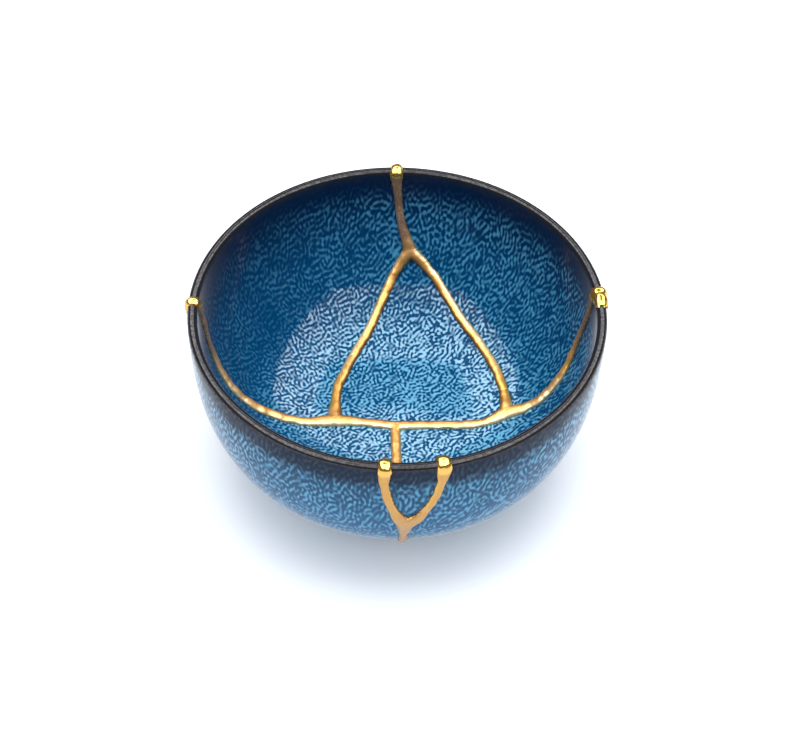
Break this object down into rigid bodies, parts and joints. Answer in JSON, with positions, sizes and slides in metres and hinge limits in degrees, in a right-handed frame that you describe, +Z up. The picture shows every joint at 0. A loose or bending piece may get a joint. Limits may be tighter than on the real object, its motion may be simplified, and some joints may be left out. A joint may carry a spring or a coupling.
{
  "type": "kintsugi bowl",
  "caption": "Small deep round bowl on a foot ring, broken and mended with raised gold seams that run inside, over the lip and outside.",
  "frame": {"origin": "centre of the foot's underside, on the plane the bowl stands on", "axes": "+Z up along the bowl's axis; -Y is the front, where a chip of the rim is mended with a V of gold; +X is the right of someone facing that front"},
  "size_m": [0.1169, 0.1173, 0.0612],
  "materials": {
    "blue_glaze": "glossy mottled blue glaze over dark stoneware, bare clay at the foot",
    "gold_lacquer": "burnished gold powder on lacquer"
  },
  "bodies": {
    "root": {"shard_back_left": "blue_glaze", "shard_back_right": "blue_glaze", "shard_triangle": "blue_glaze", "shard_front_left": "blue_glaze", "shard_front_right": "blue_glaze", "shard_rim_chip": "blue_glaze", "gold_seams": "gold_lacquer"}
  },
  "joints": []
}
